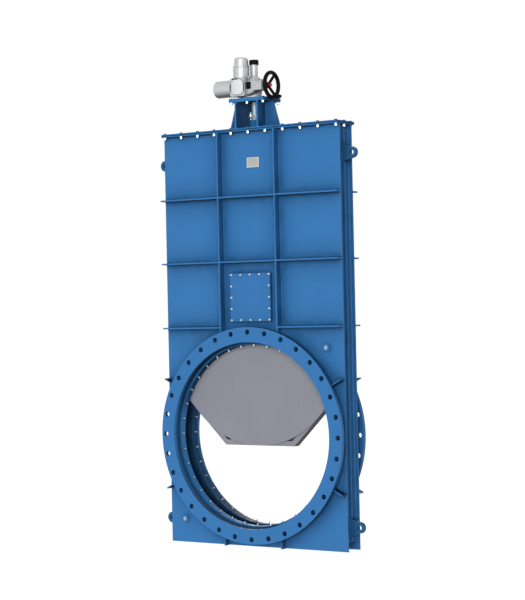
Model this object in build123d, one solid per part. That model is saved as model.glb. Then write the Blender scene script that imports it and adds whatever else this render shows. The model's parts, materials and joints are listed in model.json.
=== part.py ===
"""Guillotine damper for a round duct, with a ribbed bonnet, a hollow blade and an electric screw drive.

Millimetres. The origin is on the duct's axis, on the front duct flange's face. +X is right, +Y runs
through the duct from front to back and +Z is up. The blade is drawn partly raised.
"""
from build123d import *
import math
import os

# Duct connection
duct_bore = 1210.0
face_to_face = 288.0
flange_land = 97.5
flange_thickness = 25.0
bolt_edge = 32.5
flange_hole = 33.0
flange_hole_count = 32
neck_wall = 10.0

# Casing
casing_side = 82.5
casing_foot = 19.5
casing_headroom = 20.0
casing_depth = 148.5
casing_plate = 10.0
side_wall = 8.0
side_wall_inset = 24.0
bottom_wall = 8.0
bottom_wall_inset = 54.0
side_strip_depth = 8.0
side_strip_height = 13.0
side_strip_headroom = 40.0

# Bonnet rim and cover
rim_plate = 10.0
rim_overhang_side = 2.5
rim_overhang_face = 28.0
cover_plate = 10.0

# Stiffening ribs on both faces
rib_height = 56.0
rib_plate = 10.0
vertical_rib_x = 221.0
lower_rib_drop = 2.5
rib_level_shares = (0.0, 0.335, 0.666)

# Flange gussets on both faces
gusset_plate = 8.0
gusset_angle = 28.0
gusset_height = 54.0

# Inspection hatch on the front plate
hatch_rise = 195.0
hatch_size = 312.0
hatch_frame_width = 38.0
hatch_frame_height = 16.0
hatch_cover_plate = 10.0

# Bare plate and purge plugs on the front plate
nameplate_x = 26.0
nameplate_drop = 206.0
nameplate_width = 95.0
nameplate_height = 66.0
nameplate_plate = 2.0
purge_gap = 96.5
purge_boss = 46.0
purge_boss_height = 10.0
purge_plug_flats = 30.0
purge_plug_height = 12.0

# Lifting lugs
lug_plate = 20.0
lug_hole = 30.0
lug_end_radius = 36.0
lug_reach = 46.5
lug_root_height = 119.0
lug_drop = 182.0
lug_rise = 149.0

# Seal rings inside the necks
seal_lip = 15.0
seal_sleeve_reach = 9.75
seal_flange_land = 30.0
blade_face_clearance = 6.0

# Blade
blade_side_clearance = 10.5
blade_thickness = 62.0
blade_skin = 6.0
blade_bar = 34.0
blade_raised = 574.0
blade_open_margin = 7.0
nut_width = 96.0
nut_height = 54.0

# Stem and gland
stem_diameter = 40.0
stem_end_margin = 8.0
stem_socket_depth = 24.0
running_clearance = 0.3
stuffing_box_diameter = 76.0
stuffing_box_height = 54.0
follower_width = 88.0
follower_depth = 54.0
follower_plate = 12.0
follower_gap = 14.0
follower_sleeve_wall = 6.0

# Yoke
yoke_height = 170.0
yoke_leg_plate = 10.0
yoke_leg_x = 80.0
yoke_gusset_plate = 10.0
yoke_gusset_foot = 106.0
yoke_gusset_head = 58.0
yoke_plate_width = 270.0
yoke_plate_thickness = 12.0
yoke_plate_hole = 64.0
adapter_plate = 12.0

# Gearbox round the stem
gearbox_diameter = 104.0
gearbox_flange_diameter = 150.0
gearbox_flange_thickness = 12.0
gearbox_height = 128.0
gearbox_shoulder = 88.0
gearbox_shoulder_head = 57.0
gearbox_shoulder_height = 20.0
gearbox_edge = 6.0
gearbox_boss = 18.0
gearbox_boss_height = 44.0
gearbox_boss_angles = (-60.0, 30.0, 120.0)
worm_offset = 47.0
worm_height = 74.0
tunnel_rise = 35.0
tunnel_front = 29.0
tunnel_end = 54.0
tunnel_belly_edge = 20.0
bearing_box = 62.0
bearing_box_front = 42.0
bearing_box_end = 114.0
bearing_pocket = 36.0
bearing_pocket_depth = 2.0
bearing_collar = 38.0
bearing_collar_length = 12.0
housing_edge = 6.0

# Stem tube
tube_diameter = 51.0
tube_height = 73.0
tube_cap_diameter = 63.0
tube_cap_height = 32.0
tube_cap_edge = 4.0

# Control housing, its head, its cover and the display
control_width = 112.0
control_x = -69.0
control_height = 120.0
control_front = 60.0
control_back = 56.0
control_edge = 14.0
head_x = -65.0
head_axis_depth = 46.0
head_base_diameter = 106.0
head_base_height = 66.0
head_base_edge = 5.0
head_boss = 14.0
head_boss_circle = 96.0
head_boss_count = 4
head_boss_height = 20.0
head_boss_turn = 45.0
head_diameter = 95.0
head_height = 134.0
head_draft = 3.0
head_edge = 14.0
tube_gap = 3.0
cover_width = 100.0
cover_height = 98.0
cover_corner = 28.0
cover_thickness = 9.0
cover_crown = 7.0
cover_edge = 2.0
display_width = 34.0
display_height = 46.0
display_plate = 4.0
display_x = 5.5
display_rise = 7.0
display_corner = 5.0

# Motor
motor_diameter = 113.0
motor_length = 138.0
motor_edge = 14.0
motor_collar = 119.0
motor_collar_length = 12.0

# Handwheel
wheel_x = 166.0
wheel_diameter = 184.0
wheel_rim = 25.0
wheel_rim_edge = 11.0
wheel_dish = 29.0
wheel_spoke = 19.0
wheel_spoke_count = 3
wheel_hub = 40.0
wheel_hub_length = 20.0
wheel_shaft = 20.0
wheel_shaft_seat = 24.0
button_diameter = 22.0
button_length = 18.0
button_edge = 4.0
knob_pin = 10.0
knob_head = 3.0
knob_diameter = 24.0
knob_length = 55.0
knob_edge = 6.0

# Cuts run past the faces that they open
overrun = 20.0

# Sizes and places that follow from those above
flange_diameter = duct_bore + 2 * flange_land
bolt_circle = flange_diameter - 2 * bolt_edge
casing_width = duct_bore + 2 * casing_side
blade_width = casing_width - 2 * (side_wall_inset + side_wall + blade_side_clearance)
seal_ring_bore = duct_bore - 2 * seal_lip
seal_flange_diameter = duct_bore + 2 * seal_flange_land
hatch_opening = hatch_size - 2 * hatch_frame_width
mid_y = face_to_face / 2
plate_front = mid_y - casing_depth / 2
plate_inner = plate_front + casing_plate
cavity_back = face_to_face - plate_inner
seal_sleeve_start = plate_front - seal_sleeve_reach
bore_radius = duct_bore / 2
flange_radius = flange_diameter / 2
casing_bottom = flange_radius + casing_foot
blade_open_bottom = bore_radius + blade_open_margin
casing_top = blade_open_bottom + blade_width + nut_height + casing_headroom
lower_rib_z = flange_radius - lower_rib_drop
hatch_z = lower_rib_z + hatch_rise
nameplate_z = casing_top - nameplate_drop
purge_place = (flange_radius + purge_gap) / math.sqrt(2)
lug_upper_z = casing_top - lug_drop
lug_lower_z = lug_rise - casing_bottom
half_width = casing_width / 2
wall_outer_x = half_width - side_wall_inset
wall_inner_x = wall_outer_x - side_wall
floor_top = -casing_bottom + bottom_wall_inset + bottom_wall
rim_top = casing_top + rim_plate
cover_top = rim_top + cover_plate
blade_half = blade_width / 2
blade_front = mid_y - blade_thickness / 2
blade_back = mid_y + blade_thickness / 2
seal_ring_end = blade_front - blade_face_clearance
stem_radius = stem_diameter / 2
stem_hole_radius = stem_radius + running_clearance
yoke_plate_depth = casing_depth + 2 * rim_overhang_face
yoke_top = cover_top + yoke_height
drive_base = yoke_top + yoke_plate_thickness + adapter_plate
worm_y = mid_y - worm_offset
worm_z = drive_base + worm_height
gearbox_top = drive_base + gearbox_height
tube_base = gearbox_top + gearbox_shoulder_height
tube_top = tube_base + tube_height
stem_bottom = blade_open_bottom + blade_bar + stem_end_margin
stem_top = drive_base + stem_socket_depth - running_clearance
middle_plane = Plane(origin=(0, mid_y, 0), z_dir=(0, 1, 0))


def slab(x_span, y_span, z_span):
    """A rectangular plate between three pairs of limits."""
    middle = [(low + high) / 2 for low, high in (x_span, y_span, z_span)]
    sides = [high - low for low, high in (x_span, y_span, z_span)]
    return Pos(*middle) * Box(*sides)


def facing(y):
    """A sketch plane that faces the front at depth y, with its axes along +X and +Z."""
    return Plane.XZ.offset(-y)


def pushed(sketch, y_span):
    """A sketch in X and Z carried from one depth to another."""
    start, end = y_span
    return extrude(facing(start) * sketch, amount=start - end)


def ring(inner_radius, outer_radius, y_span):
    """A round ring on the duct's axis."""
    return pushed(Circle(outer_radius) - Circle(inner_radius), y_span)


def upright(x, y, radius, z_span):
    """A vertical round bar."""
    low, high = z_span
    return Pos(x, y, (low + high) / 2) * Cylinder(radius, high - low)


def level(radius, x_span, y=worm_y, z=worm_z):
    """A round bar along X, on the worm's axis unless another is given."""
    low, high = x_span
    return Pos((low + high) / 2, y, z) * Rot(0, 90, 0) * Cylinder(radius, high - low)


def stem_hole(low, high):
    """The stem's running hole through a piece between two heights."""
    return upright(0, mid_y, stem_hole_radius, (low - overrun, high + overrun))


def mirrored(shape):
    """The same piece on the other face of the damper."""
    return mirror(shape, about=middle_plane)


def polygon(points):
    """A flat face inside straight edges."""
    return make_face(Polyline(*points, close=True))


def casing_face():
    """The front plate, with the duct hole."""
    sheet = slab((-half_width, half_width), (plate_front, plate_inner), (-casing_bottom, casing_top))
    hole = pushed(Circle(bore_radius), (plate_front - overrun, plate_inner + overrun))
    return sheet - hole


def hatch_hole():
    """The inspection opening behind the hatch."""
    opening = Pos(0, hatch_z) * Rectangle(hatch_opening, hatch_opening)
    return pushed(opening, (plate_front - overrun, plate_inner + overrun))


def side_plate():
    """The right side wall, set in from the plates' edges."""
    floor_bottom = floor_top - bottom_wall
    return slab((wall_inner_x, wall_outer_x), (plate_inner, cavity_back), (floor_bottom, casing_top))


def side_strip():
    """The flat bar along the middle of the right side wall."""
    y_span = (mid_y - side_strip_depth / 2, mid_y + side_strip_depth / 2)
    x_span = (wall_outer_x, wall_outer_x + side_strip_height)
    spans = [(floor_top, lug_lower_z - lug_root_height / 2)]
    spans += [(lug_lower_z + lug_root_height / 2, lug_upper_z - lug_root_height / 2)]
    spans += [(lug_upper_z + lug_root_height / 2, casing_top - side_strip_headroom)]
    return Compound([slab(x_span, y_span, z_span) for z_span in spans])


def top_rim():
    """The bonnet's flange, open over the blade."""
    x = half_width + rim_overhang_side
    plate = slab((-x, x), rim_depth(), (casing_top, rim_top))
    return plate - slab((-wall_inner_x, wall_inner_x), (plate_inner, cavity_back),
                        (casing_top - overrun, rim_top + overrun))


def rim_depth():
    """The depth of the bonnet's rim and cover."""
    return (plate_front - rim_overhang_face, face_to_face - plate_front + rim_overhang_face)


def top_cover():
    """The bonnet's cover, with a running hole for the stem."""
    x = half_width + rim_overhang_side
    plate = slab((-x, x), rim_depth(), (rim_top, cover_top))
    return plate - stem_hole(rim_top, cover_top)


def duct_flange():
    """The front duct flange with its ring of bolt holes."""
    holes = PolarLocations(bolt_circle / 2, flange_hole_count) * Circle(flange_hole / 2)
    return pushed(Circle(flange_radius) - Circle(bore_radius) - holes, (0, flange_thickness))


def seal_ring():
    """A stepped ring that sleeves the neck and faces the blade."""
    sleeve = ring(seal_ring_bore / 2, bore_radius - running_clearance, (seal_sleeve_start, seal_ring_end))
    return sleeve + ring(seal_ring_bore / 2, seal_flange_diameter / 2, (plate_inner, seal_ring_end))


def rib_span():
    """The depth that the front ribs stand in."""
    return (plate_front - rib_height, plate_front)


def vertical_ribs():
    """Two upright ribs from the neck, under the flange, to the bonnet's rim."""
    neck_edge, rim_edge = flange_edges(vertical_rib_x - rib_plate / 2)
    ribs = []
    for x in (-vertical_rib_x, vertical_rib_x):
        plane = Plane(origin=(x, 0, 0), x_dir=(0, 0, 1), z_dir=(-1, 0, 0))
        ribs.append(web(plane, neck_edge, rim_edge, casing_top, rib_height, rib_plate))
    return Compound(ribs)


def horizontal_ribs():
    """Level ribs between and beside the upright ones, the lowest only beside them."""
    inner = vertical_rib_x - rib_plate / 2
    outer = vertical_rib_x + rib_plate / 2
    bars = []
    for share in rib_level_shares:
        z = lower_rib_z + share * (casing_top - lower_rib_z)
        spans = [(-half_width, -outer), (outer, half_width)]
        if share > 0:
            spans.append((-inner, inner))
        bars += [slab(x_span, rib_span(), (z - rib_plate / 2, z + rib_plate / 2)) for x_span in spans]
    return Compound(bars)


def flange_edges(x):
    """How far above or below the duct's axis the neck and the flange's rim lie at one width."""
    neck_edge = math.sqrt((bore_radius + neck_wall) ** 2 - x**2)
    rim_edge = math.sqrt((flange_radius + running_clearance) ** 2 - x**2)
    return neck_edge, rim_edge


def web(plane, root, rim, toe, height, plate):
    """A web from the neck, notched under the flange and past its rim, to a straight end."""
    front = plate_front - height
    outline = [(root, flange_thickness), (rim, flange_thickness), (rim, front),
               (toe, front), (toe, plate_front), (root, plate_front)]
    return extrude(plane * polygon(outline), amount=plate / 2, both=True)


def flange_gussets():
    """Four slanting webs to the casing's sides and two upright ones under the flange."""
    neck_radius = bore_radius + neck_wall
    webs = []
    for angle in (gusset_angle, -gusset_angle, 180 - gusset_angle, 180 + gusset_angle):
        turn = math.radians(angle)
        plane = Plane(origin=(0, 0, 0), x_dir=(math.cos(turn), 0, math.sin(turn)),
                      z_dir=(-math.sin(turn), 0, math.cos(turn)))
        slope = math.radians(gusset_angle)
        toe = (half_width - gusset_plate / 2 * math.sin(slope)) / math.cos(slope)
        rim = flange_radius + running_clearance
        webs.append(web(plane, neck_radius, rim, toe, gusset_height, gusset_plate))
    return Compound(webs + [low_gusset(-vertical_rib_x), low_gusset(vertical_rib_x)])


def low_gusset(x):
    """An upright web below the flange, down to the casing's foot."""
    neck_edge, rim_edge = flange_edges(abs(x) - gusset_plate / 2)
    plane = Plane(origin=(x, 0, 0), x_dir=(0, 0, -1), z_dir=(1, 0, 0))
    return web(plane, neck_edge, rim_edge, casing_bottom, gusset_height, gusset_plate)


def hatch_frame():
    """The square frame that carries the hatch cover."""
    outline = Rectangle(hatch_size, hatch_size) - Rectangle(hatch_opening, hatch_opening)
    return pushed(Pos(0, hatch_z) * outline, (plate_front - hatch_frame_height, plate_front))


def hatch_cover():
    """The square cover of the inspection opening."""
    outer = plate_front - hatch_frame_height
    return pushed(Pos(0, hatch_z) * Rectangle(hatch_size, hatch_size), (outer - hatch_cover_plate, outer))


def nameplate():
    """A bare metal plate."""
    outline = Pos(nameplate_x, nameplate_z) * Rectangle(nameplate_width, nameplate_height)
    return pushed(outline, (plate_front - nameplate_plate, plate_front))


def purge_plugs():
    """Two hexagon plugs in round bosses, on one diagonal of the front plate."""
    plugs = []
    for side in (-1, 1):
        place = Pos(side * purge_place, side * purge_place)
        boss_top = plate_front - purge_boss_height
        boss = pushed(place * Circle(purge_boss / 2), (boss_top, plate_front))
        head = RegularPolygon(purge_plug_flats / 2, 6, major_radius=False)
        plugs.append(boss + pushed(place * head, (boss_top - purge_plug_height, boss_top)))
    return Compound(plugs)


def lifting_lug(z):
    """A tapered lug on the right side wall, with a round end and a shackle hole."""
    eye_x = half_width + lug_reach
    half_root = lug_root_height / 2
    body = polygon([(wall_outer_x, z - half_root), (eye_x, z - lug_end_radius), (eye_x, z + lug_end_radius),
                    (wall_outer_x, z + half_root)])
    outline = body + Pos(eye_x, z) * Circle(lug_end_radius) - Pos(eye_x, z) * Circle(lug_hole / 2)
    return pushed(outline, (mid_y - lug_plate / 2, mid_y + lug_plate / 2))


def blade_outline(inset):
    """Half an octagon below and a square end above, drawn for the raised blade."""
    half = blade_half - inset
    corner = half * math.tan(math.pi / 8)
    return Pos(0, blade_raised) * polygon([(-corner, -half), (corner, -half), (half, -corner), (half, half),
                                           (-half, half), (-half, -corner)])


def blade_frame():
    """The blade's edge bars, with the stem's way through the top one."""
    y_span = (blade_front + blade_skin, blade_back - blade_skin)
    bars = pushed(blade_outline(0) - blade_outline(blade_bar), y_span)
    top = blade_raised + blade_half
    return bars - stem_hole(top - blade_bar, top)


def blade_skin_plate():
    """The front skin, rounded below inside the octagon."""
    disc = Pos(0, blade_raised) * Circle(blade_half)
    upper = Pos(0, blade_raised + blade_half / 2) * Rectangle(blade_width, blade_half)
    return pushed(disc + upper, (blade_front, blade_front + blade_skin))


def blade_back_plate():
    """The back skin, which closes the octagon's corners too."""
    return pushed(blade_outline(0), (blade_back - blade_skin, blade_back))


def stem_nut():
    """The nut block that hangs the blade on the stem."""
    base = blade_raised + blade_half
    top = base + nut_height
    block = slab((-nut_width / 2, nut_width / 2), (blade_front, blade_back), (base, top))
    return block - stem_hole(base, top)


def stuffing_box():
    """The round packing box on the cover."""
    box_top = cover_top + stuffing_box_height
    return upright(0, mid_y, stuffing_box_diameter / 2, (cover_top, box_top)) - stem_hole(cover_top, box_top)


def gland_follower():
    """The two-bolt follower that presses the packing."""
    box_top = cover_top + stuffing_box_height
    plate_low = box_top + follower_gap
    outline = SlotOverall(follower_width, follower_depth)
    plate = extrude(Pos(0, mid_y, plate_low) * outline, amount=follower_plate)
    sleeve = upright(0, mid_y, stem_hole_radius + follower_sleeve_wall, (box_top, plate_low))
    return plate + sleeve - stem_hole(box_top, plate_low + follower_plate)


def yoke_leg():
    """The right upright plate of the yoke."""
    y_span = (mid_y - yoke_plate_depth / 2, mid_y + yoke_plate_depth / 2)
    return slab((yoke_leg_x, yoke_leg_x + yoke_leg_plate), y_span, (cover_top, yoke_top))


def yoke_gusset():
    """The tapered web outside the right leg."""
    root = yoke_leg_x + yoke_leg_plate
    outline = polygon([(root, cover_top), (root + yoke_gusset_foot, cover_top),
                       (root + yoke_gusset_head, yoke_top), (root, yoke_top)])
    return pushed(outline, (mid_y - yoke_gusset_plate / 2, mid_y + yoke_gusset_plate / 2))


def drive_plate(z_span):
    """A square-edged plate on top of the yoke, with a clear hole for the stem."""
    half = (yoke_plate_width / 2, yoke_plate_depth / 2)
    plate = slab((-half[0], half[0]), (mid_y - half[1], mid_y + half[1]), z_span)
    return plate - upright(0, mid_y, yoke_plate_hole / 2, (z_span[0] - overrun, z_span[1] + overrun))


def gear_drum():
    """The gear housing's turned forms: foot flange, drum, bolt bosses and a tapered shoulder."""
    foot_top = drive_base + gearbox_flange_thickness
    foot = upright(0, mid_y, gearbox_flange_diameter / 2, (drive_base, foot_top))
    drum = upright(0, mid_y, gearbox_diameter / 2, (drive_base, gearbox_top))
    drum = fillet(drum.edges().sort_by(Axis.Z)[-1], gearbox_edge)
    taper = Cone(gearbox_shoulder / 2, gearbox_shoulder_head / 2, gearbox_shoulder_height)
    drum += foot + Pos(0, mid_y, gearbox_top + gearbox_shoulder_height / 2) * taper
    for angle in gearbox_boss_angles:
        turn = math.radians(angle)
        reach = (gearbox_diameter - gearbox_boss) / 2 + gearbox_edge
        drum += upright(reach * math.cos(turn), mid_y + reach * math.sin(turn), gearbox_boss / 2,
                        (gearbox_top - gearbox_boss_height, gearbox_top))
    return drum


def worm_tunnel():
    """The casting over the worm, with a belly that sweeps up to the bearing box."""
    left = control_x + control_width / 2
    low_left = worm_z - control_height / 2
    low_right = worm_z - bearing_box / 2
    top = worm_z + tunnel_rise
    sides = Polyline((tunnel_end, low_right), (tunnel_end, top), (left, top), (left, low_left))
    belly = TangentArc((left, low_left), (tunnel_end, low_right), tangent=(1, 0))
    tunnel = pushed(make_face(sides + belly), (worm_y - tunnel_front, mid_y))
    front_edges = tunnel.edges().group_by(Axis.Y)[0]
    return fillet(front_edges.filter_by(GeomType.CIRCLE), tunnel_belly_edge)


def worm_bearing():
    """The box and collar that carry the handwheel's shaft, with a shallow pocket in the front."""
    half_box = bearing_box / 2
    front = worm_y - bearing_box_front
    z_span = (worm_z - half_box, worm_z + half_box)
    box = slab((tunnel_end, bearing_box_end), (front, worm_y + half_box), z_span)
    box = fillet(box.edges().filter_by(Axis.X), housing_edge)
    place = Pos((tunnel_end + bearing_box_end) / 2, worm_z)
    pocket = pushed(place * RectangleRounded(bearing_pocket, bearing_pocket, housing_edge),
                    (front - overrun, front + bearing_pocket_depth))
    collar = level(bearing_collar / 2, (bearing_box_end, bearing_box_end + bearing_collar_length))
    return box - pocket + collar


def gearbox():
    """The cast gear housing, with the stem's socket below and the wheel shaft's seat at the right."""
    shaft_start = bearing_box_end - wheel_shaft_seat
    shaft_end = bearing_box_end + bearing_collar_length
    socket = upright(0, mid_y, stem_hole_radius, (drive_base - overrun, drive_base + stem_socket_depth))
    seat = level(wheel_shaft / 2 + running_clearance, (shaft_start, shaft_end + overrun))
    return gear_drum() + worm_tunnel() + worm_bearing() - socket - seat


def stem_tube():
    """The tube over the stem's end, on the gearbox."""
    return upright(0, mid_y, tube_diameter / 2, (tube_base, tube_top))


def tube_cap():
    """The screwed cap of the stem tube."""
    cap = upright(0, mid_y, tube_cap_diameter / 2, (tube_top, tube_top + tube_cap_height))
    return chamfer(cap.edges().sort_by(Axis.Z)[-1], tube_cap_edge)


def control_housing():
    """The control housing in front of the gearbox, with a round base and a drafted bell on top."""
    left = control_x - control_width / 2
    right = control_x + control_width / 2
    front = worm_y - control_front + cover_thickness
    block_top = worm_z + control_height / 2
    block = slab((left, right), (front, worm_y + control_back), (worm_z - control_height / 2, block_top))
    block = fillet(block.edges().filter_by(Axis.Y).group_by(Axis.X)[0], control_edge)
    base_top = block_top + head_base_height
    head_y = front + head_axis_depth
    base = upright(head_x, head_y, head_base_diameter / 2, (block_top, base_top))
    base = fillet(base.edges().sort_by(Axis.Z)[-1], head_base_edge)
    bell_height = head_height - head_base_height
    bell = Cone(head_diameter / 2, head_diameter / 2 - head_draft, bell_height)
    bell = Pos(head_x, head_y, base_top + bell_height / 2) * bell
    bell = fillet(bell.edges().sort_by(Axis.Z)[-1], head_edge)
    boss_span = (base_top - head_boss_height, base_top + head_boss_height)
    for index in range(head_boss_count):
        turn = math.radians(head_boss_turn + 360 * index / head_boss_count)
        boss_x = head_x + head_boss_circle / 2 * math.cos(turn)
        boss_y = head_y + head_boss_circle / 2 * math.sin(turn)
        bell += upright(boss_x, boss_y, head_boss / 2, boss_span)
    drum_relief = upright(0, mid_y, gearbox_diameter / 2 + running_clearance, (drive_base, tube_base))
    tube_relief = upright(0, mid_y, tube_diameter / 2 + tube_gap, (tube_base, tube_top))
    return block + base + bell - drum_relief - tube_relief


def control_cover():
    """The crowned cover with large corners on the control housing's front."""
    back = worm_y - control_front + cover_thickness
    outline = Pos(control_x, worm_z) * RectangleRounded(cover_width, cover_height, cover_corner)
    plate = pushed(outline, (back - cover_thickness, back))
    crown_radius = ((cover_width / 2) ** 2 + cover_crown**2) / (2 * cover_crown)
    crown = upright(control_x, back - cover_thickness + crown_radius, crown_radius,
                    (worm_z - cover_height, worm_z + cover_height))
    return fillet((plate & crown).edges().group_by(Axis.Y)[0], cover_edge)


def display():
    """The dark window on the front of the worm tunnel."""
    front = worm_y - tunnel_front
    outline = RectangleRounded(display_width, display_height, display_corner)
    return pushed(Pos(display_x, worm_z + display_rise) * outline, (front - display_plate, front))


def motor():
    """The motor on the control housing's left side."""
    root = control_x - control_width / 2
    collar = level(motor_collar / 2, (root - motor_collar_length, root))
    body = level(motor_diameter / 2, (root - motor_length, root))
    body = fillet(body.edges().sort_by(Axis.X)[0], motor_edge)
    return body + collar


def handwheel():
    """A dished wheel: round rim, straight spokes and a hub on the worm's shaft."""
    rim_radius = (wheel_diameter - wheel_rim) / 2
    plane = Plane(origin=(wheel_x, worm_y, worm_z), x_dir=(0, 1, 0), z_dir=(0, 0, 1))
    section = plane * Pos(rim_radius, 0) * RectangleRounded(wheel_rim, wheel_rim, wheel_rim_edge)
    rim = revolve(section, Axis(plane.origin, (1, 0, 0)))
    hub_x = wheel_x - wheel_dish
    hub = level(wheel_hub / 2, (hub_x - wheel_hub_length / 2, hub_x + wheel_hub_length / 2))
    shaft = level(wheel_shaft / 2, (bearing_box_end - wheel_shaft_seat + running_clearance, hub_x))
    wheel = hub + shaft
    for index in range(wheel_spoke_count):
        turn = math.radians(180 + 360 * index / wheel_spoke_count)
        end = (wheel_x, worm_y + rim_radius * math.cos(turn), worm_z + rim_radius * math.sin(turn))
        start = (hub_x, worm_y, worm_z)
        line = Vector(*end) - Vector(*start)
        bar = Cylinder(wheel_spoke / 2, line.length, align=(Align.CENTER, Align.CENTER, Align.MIN))
        wheel += Plane(origin=start, z_dir=line) * bar
    return wheel + rim + knob_spindle() - button_blank()


def knob_place():
    """The height of the crank knob's axis, at the bottom of the rim."""
    return worm_z - (wheel_diameter - wheel_rim) / 2


def knob_spindle():
    """The headed pin that the crank knob turns on."""
    start = wheel_x + wheel_rim / 2 + running_clearance
    end = start + knob_length + running_clearance
    pin = level(knob_pin / 2, (wheel_x, end + knob_head), z=knob_place())
    return pin + level(knob_pin / 2 + knob_head, (end, end + knob_head), z=knob_place())


def crank_knob():
    """The turning grip on the handwheel's pin."""
    start = wheel_x + wheel_rim / 2 + running_clearance
    end = start + knob_length
    grip = fillet(level(knob_diameter / 2, (start, end), z=knob_place()).edges(), knob_edge)
    return grip - level(knob_pin / 2 + running_clearance, (start - overrun, end + overrun), z=knob_place())


def button_blank():
    """The room that the button takes between the spokes."""
    start = wheel_x - wheel_dish + wheel_hub_length / 2
    return level(button_diameter / 2, (start, start + button_length))


def hub_button():
    """The red button in the middle of the handwheel."""
    return fillet(button_blank().edges().sort_by(Axis.X)[-1], button_edge)


def left_of(shape):
    """The same piece on the damper's left side."""
    return mirror(shape, about=Plane.YZ)


def both_sides(shape):
    """A piece and its twin on the damper's left side."""
    return Compound(shape.solids() + left_of(shape).solids())


def pieces():
    """Every named piece of the damper."""
    neck = ring(bore_radius, bore_radius + neck_wall, (flange_thickness, plate_front))
    plate = casing_face()
    named = {
        "front_plate": plate - hatch_hole(),
        "back_plate": mirrored(plate),
        "right_side_wall": side_plate(),
        "left_side_wall": left_of(side_plate()),
        "side_strips": both_sides(side_strip()),
        "bottom_wall": slab((-wall_inner_x, wall_inner_x), (plate_inner, cavity_back),
                            (floor_top - bottom_wall, floor_top)),
        "top_flange": top_rim(),
        "top_cover": top_cover(),
        "hatch_frame": hatch_frame(),
        "hatch_cover": hatch_cover(),
        "nameplate": nameplate(),
        "purge_plugs": purge_plugs(),
        "upper_lifting_lugs": both_sides(lifting_lug(lug_upper_z)),
        "lower_lifting_lugs": both_sides(lifting_lug(lug_lower_z)),
        "yoke_legs": both_sides(yoke_leg()),
        "yoke_gussets": both_sides(yoke_gusset()),
        "yoke_plate": drive_plate((yoke_top, yoke_top + yoke_plate_thickness)),
        "adapter_plate": drive_plate((yoke_top + yoke_plate_thickness, drive_base)),
        "stuffing_box": stuffing_box(),
        "gland_follower": gland_follower(),
        "gearbox": gearbox(),
        "stem_tube": stem_tube(),
        "tube_cap": tube_cap(),
        "control_housing": control_housing(),
        "control_cover": control_cover(),
        "display": display(),
        "motor": motor(),
        "blade_frame": blade_frame(),
        "blade_front_skin": blade_skin_plate(),
        "blade_back_skin": blade_back_plate(),
        "stem_nut": stem_nut(),
        "stem": upright(0, mid_y, stem_radius, (stem_bottom, stem_top)),
        "handwheel": handwheel(),
        "hub_button": hub_button(),
        "crank_knob": crank_knob(),
    }
    fronts = {"duct_flange": duct_flange(), "neck": neck, "seal_ring": seal_ring(),
              "vertical_ribs": vertical_ribs(), "horizontal_ribs": horizontal_ribs(),
              "flange_gussets": flange_gussets()}
    for name, shape in fronts.items():
        named["front_" + name] = shape
        named["back_" + name] = mirrored(shape)
    return named


os.makedirs("parts", exist_ok=True)
for node, shape in pieces().items():
    export_step(shape, f"parts/{node}.step")
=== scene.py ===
"""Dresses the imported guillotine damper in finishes, fasteners and weld seams, and sets up its studio."""

import json
import math

import bmesh
import bpy
from bpy.props import FloatProperty, FloatVectorProperty, IntProperty, PointerProperty
from mathutils import Matrix, Vector


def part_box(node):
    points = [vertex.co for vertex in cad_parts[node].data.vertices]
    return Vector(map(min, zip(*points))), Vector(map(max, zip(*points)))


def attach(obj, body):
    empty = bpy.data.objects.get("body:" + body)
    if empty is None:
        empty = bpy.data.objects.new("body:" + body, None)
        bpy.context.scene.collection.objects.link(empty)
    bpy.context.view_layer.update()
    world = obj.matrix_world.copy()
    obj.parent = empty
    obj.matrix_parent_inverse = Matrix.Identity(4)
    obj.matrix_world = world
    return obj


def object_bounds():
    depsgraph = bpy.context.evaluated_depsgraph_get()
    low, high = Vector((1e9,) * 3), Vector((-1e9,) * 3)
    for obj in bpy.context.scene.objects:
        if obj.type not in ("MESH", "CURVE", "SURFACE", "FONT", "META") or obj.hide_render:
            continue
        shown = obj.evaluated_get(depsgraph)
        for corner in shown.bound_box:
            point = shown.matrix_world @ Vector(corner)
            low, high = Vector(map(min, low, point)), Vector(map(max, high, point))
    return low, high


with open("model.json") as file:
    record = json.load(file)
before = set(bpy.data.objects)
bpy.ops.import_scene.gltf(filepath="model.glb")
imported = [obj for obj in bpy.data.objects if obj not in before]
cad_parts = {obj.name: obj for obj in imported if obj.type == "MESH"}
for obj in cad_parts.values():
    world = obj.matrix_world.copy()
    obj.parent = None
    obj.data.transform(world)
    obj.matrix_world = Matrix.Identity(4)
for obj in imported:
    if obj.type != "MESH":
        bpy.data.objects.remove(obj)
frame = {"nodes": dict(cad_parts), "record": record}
CAD_BOX = [list(corner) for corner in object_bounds()]

bl_info = {
    "name": "Guillotine damper dressing",
    "version": (1, 0, 0),
    "blender": (4, 5, 0),
    "location": "View3D > Sidebar > Damper",
    "description": "Finishes, fasteners, weld seams and studio for a guillotine damper",
    "category": "Object",
}

# Ways along the frame's axes
UP = Vector((0, 0, 1))
DOWN = Vector((0, 0, -1))
RIGHT = Vector((1, 0, 0))
FORWARD = Vector((0, -1, 0))
BACKWARD = Vector((0, 1, 0))

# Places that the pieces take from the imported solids, in metres
CASING_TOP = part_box("top_flange")[0].z
COVER_LOW, COVER_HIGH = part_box("top_cover")
PLATE_LOW, PLATE_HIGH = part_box("front_plate")
PLATE_FRONT = PLATE_LOW.y
PLATE_INNER = PLATE_HIGH.y
CASING_HALF = PLATE_HIGH.x
CASING_FOOT = PLATE_LOW.z
MIDDLE = (PLATE_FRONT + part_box("back_plate")[1].y) / 2
DEPTH = 2 * MIDDLE
WALL_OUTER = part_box("right_side_wall")[1].x
FLOOR_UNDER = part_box("bottom_wall")[0].z
NECK_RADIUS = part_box("front_neck")[1].x
FLANGE_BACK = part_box("front_duct_flange")[1].y
SEAL_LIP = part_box("front_seal_ring")[0].y

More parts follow.
